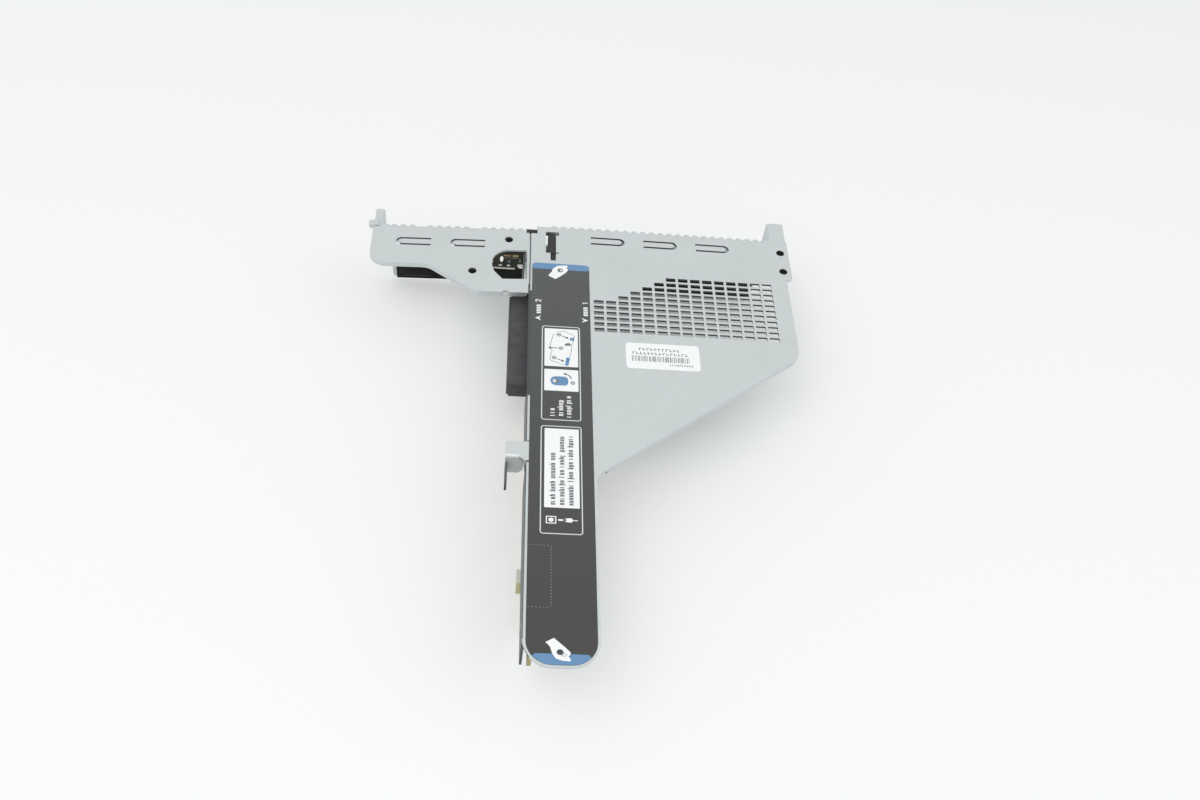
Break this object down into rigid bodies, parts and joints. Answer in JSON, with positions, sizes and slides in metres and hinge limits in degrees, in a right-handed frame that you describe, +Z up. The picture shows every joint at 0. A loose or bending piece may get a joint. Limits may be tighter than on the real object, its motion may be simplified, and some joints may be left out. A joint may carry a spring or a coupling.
{
  "type": "riser cage bracket",
  "caption": "Folded sheet-metal cage that holds an upright riser board and two expansion cards lying flat, with rear card windows, vents, spring fingers and a printed label.",
  "frame": {"origin": "middle of the card edge at the bottom of the riser board", "axes": "+Y towards the rear wall with the card windows, +Z up through the top plate, +X towards the wide bay of slot 1"},
  "size_m": [0.2053, 0.2563, 0.0382],
  "materials": {
    "zinc_sheet": "zinc-plated sheet, matt, with fine spangle",
    "board_laminate": "green solder mask over glass laminate",
    "connector_plastic": "moulded, matt dark grey",
    "gold_contact": "gold-plated",
    "cream_plastic": "moulded, matt cream",
    "ceramic_body": "sintered, matt tan",
    "chip_resin": "moulded, matt black",
    "bright_steel": "plated, semi-bright",
    "black_rubber": "sealing strip, soft matt black rubber",
    "clip_plastic": "moulded, matt black",
    "label_film": "printed film, dark grey with blue ends",
    "sticker_paper": "coated white paper"
  },
  "bodies": {
    "root": {"main_cage": "zinc_sheet", "slot2_cage": "zinc_sheet", "slot1_ledge": "zinc_sheet", "slot2_ledge": "zinc_sheet", "riser_board": "board_laminate", "slot1_connector": "connector_plastic", "slot2_connector": "connector_plastic", "slot1_contacts": "gold_contact", "slot2_contacts": "gold_contact", "edge_contacts": "gold_contact", "signal_header": "cream_plastic", "board_capacitors": "ceramic_body", "clock_chip": "chip_resin", "board_spacers": "bright_steel", "board_screws": "bright_steel", "web_rivets": "bright_steel", "ledge_rivets": "bright_steel", "ledge_nuts": "bright_steel", "slot1_gasket": "black_rubber", "slot2_gasket": "black_rubber", "cover_clip": "clip_plastic", "slot_label": "label_film", "part_sticker": "sticker_paper"}
  },
  "joints": []
}
